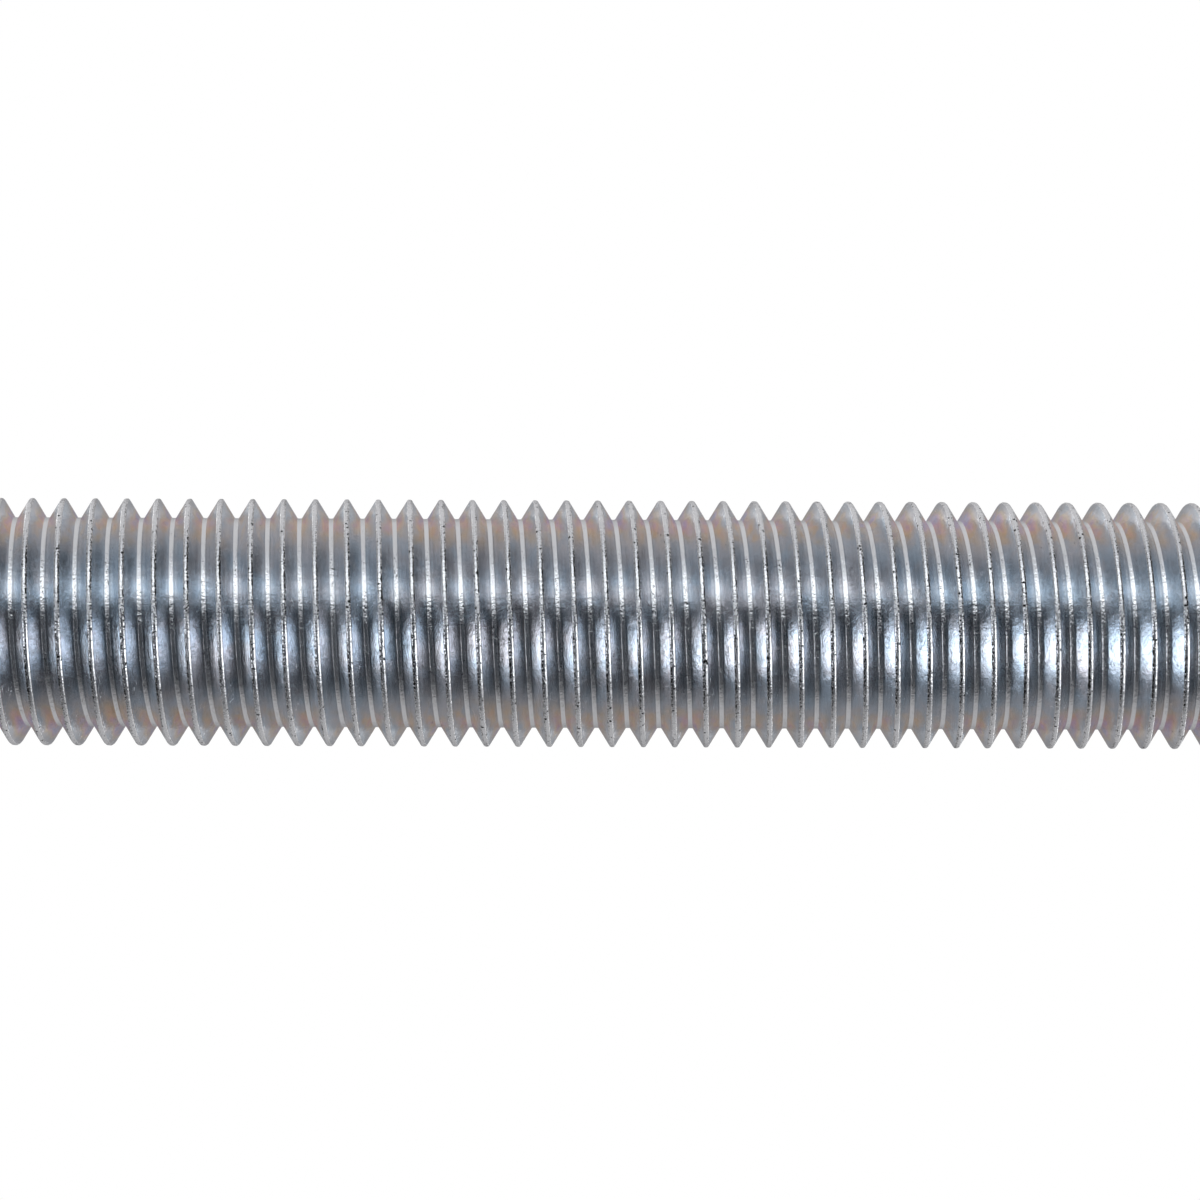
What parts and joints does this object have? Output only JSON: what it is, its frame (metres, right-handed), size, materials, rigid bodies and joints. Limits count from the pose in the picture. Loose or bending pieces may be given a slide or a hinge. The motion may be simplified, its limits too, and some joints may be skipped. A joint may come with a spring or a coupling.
{
  "type": "threaded rod",
  "caption": "Straight steel bar with a coarse right-hand metric thread along its whole length and chamfered ends, for clamping and hanging with nuts.",
  "frame": {"origin": "middle of the lower end face, on the rod's axis", "axes": "+Z along the rod's axis from the lower end face to the upper one; the groove crosses the lower end face's plane at +X"},
  "size_m": [0.0198, 0.0198, 0.15],
  "materials": {
    "zinc_plated_steel": "bright zinc plate over cut or rolled thread, semi-gloss, with small pits on the crests"
  },
  "bodies": {
    "root": {"threaded_rod": "zinc_plated_steel"}
  },
  "joints": []
}
